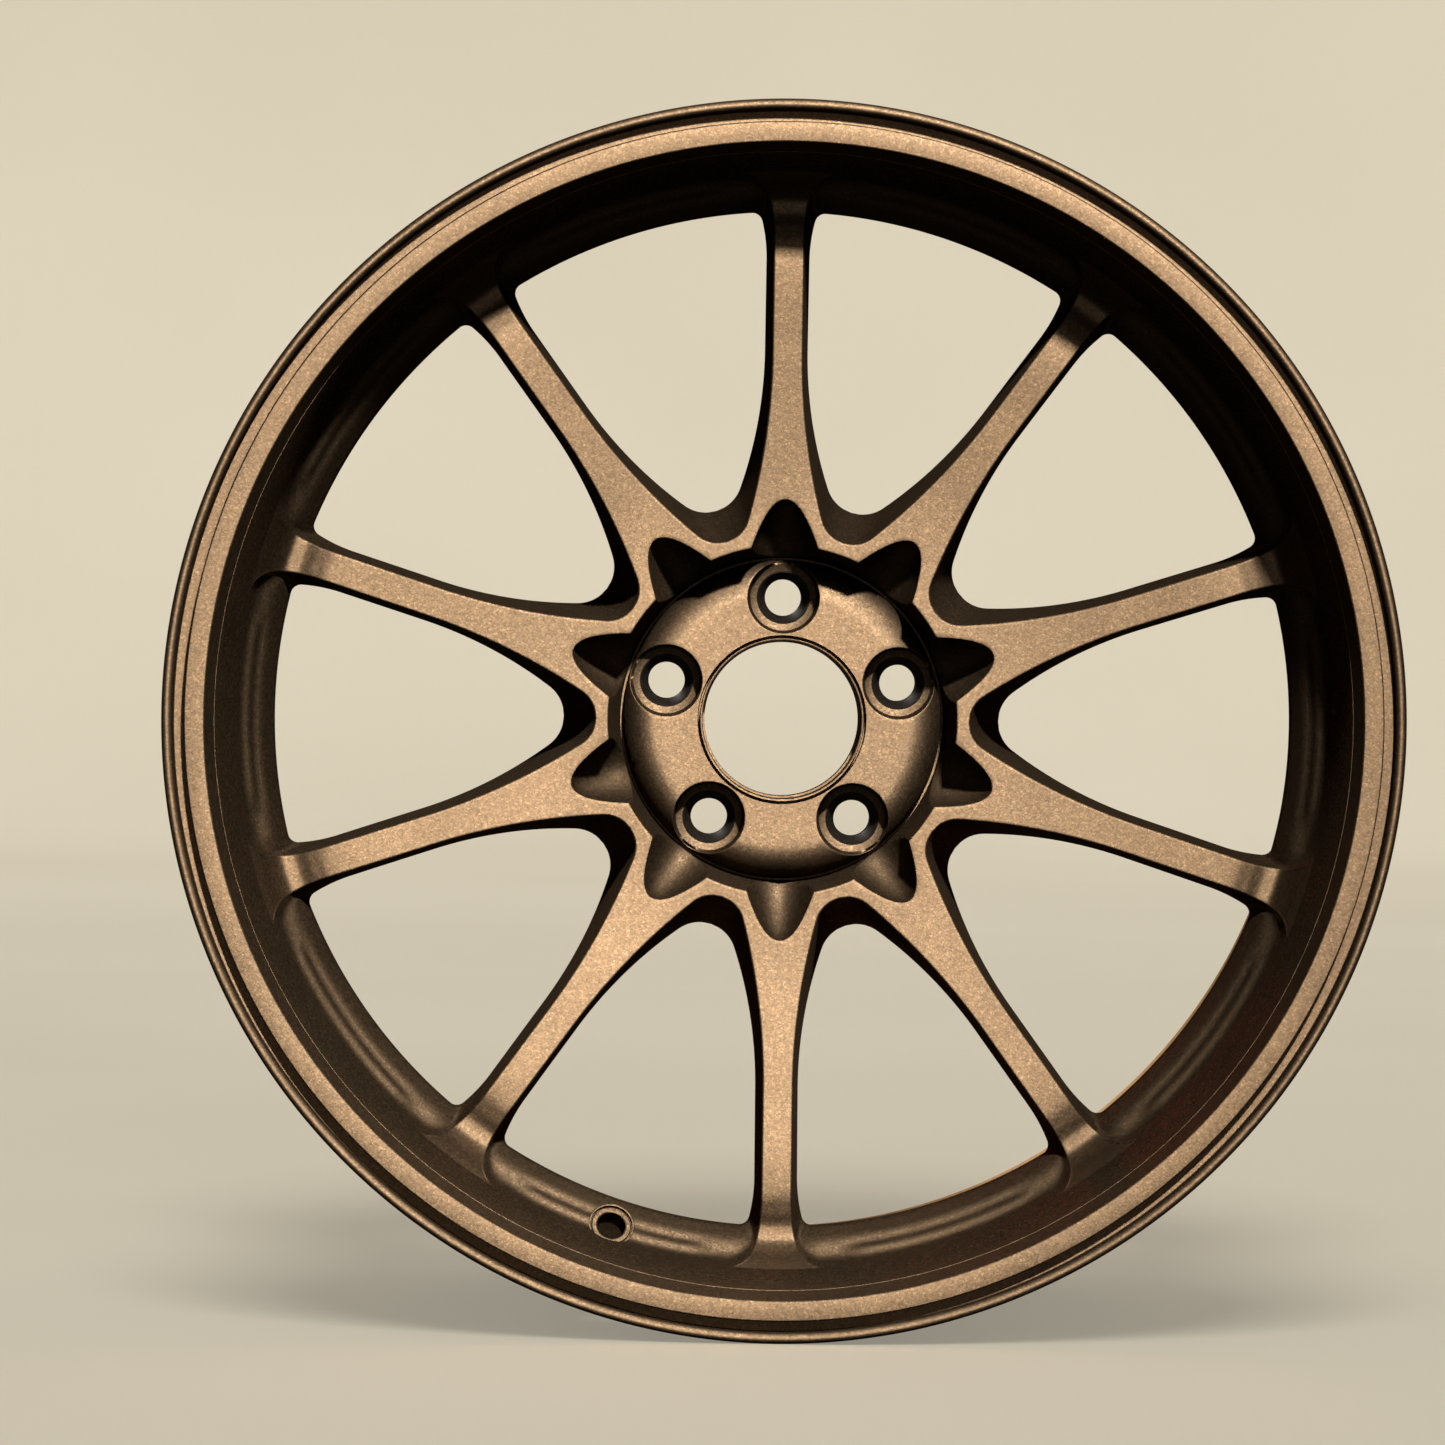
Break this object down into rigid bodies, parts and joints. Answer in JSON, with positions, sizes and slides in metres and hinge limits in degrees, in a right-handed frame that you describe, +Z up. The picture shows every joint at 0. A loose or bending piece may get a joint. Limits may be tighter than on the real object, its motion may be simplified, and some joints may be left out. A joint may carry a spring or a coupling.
{
  "type": "forged racing wheel rim",
  "caption": "One-piece forged road-racing wheel with slim straight spokes, a recessed bolt pad, conical lug seats, a tilted valve hole and a drop-centre rim for a tubeless tyre.",
  "frame": {"origin": "middle of the rim's width, on the axle", "axes": "+Y along the axle towards the vehicle, -Y out of the visible outboard face, +Z up through the first spoke, with the valve hole low on the left"},
  "size_m": [0.4969, 0.2408, 0.497],
  "materials": {
    "bronze_outer": "matte metallic bronze paint with fine flake, on the outboard lip",
    "bronze_spokes": "matte metallic bronze paint with fine flake, on the spokes and hub",
    "bronze_inner": "matte metallic bronze paint, thinner inside the barrel",
    "seat_black": "black hard-anodised conical nut seats"
  },
  "bodies": {
    "root": {"outboard_flange": "bronze_outer", "outboard_bead_seat": "bronze_outer", "spoke_ring": "bronze_spokes", "drop_centre": "bronze_inner", "barrel": "bronze_inner", "inboard_bead_seat": "bronze_inner", "inboard_flange": "bronze_inner", "valve_boss": "bronze_spokes", "hub_pad": "bronze_spokes", "hub_collar": "bronze_spokes", "lug_seat_1": "seat_black", "lug_seat_2": "seat_black", "lug_seat_3": "seat_black", "lug_seat_4": "seat_black", "lug_seat_5": "seat_black", "spoke_01": "bronze_spokes", "spoke_02": "bronze_spokes", "spoke_03": "bronze_spokes", "spoke_04": "bronze_spokes", "spoke_05": "bronze_spokes", "spoke_06": "bronze_spokes", "spoke_07": "bronze_spokes", "spoke_08": "bronze_spokes", "spoke_09": "bronze_spokes", "spoke_10": "bronze_spokes"}
  },
  "joints": []
}
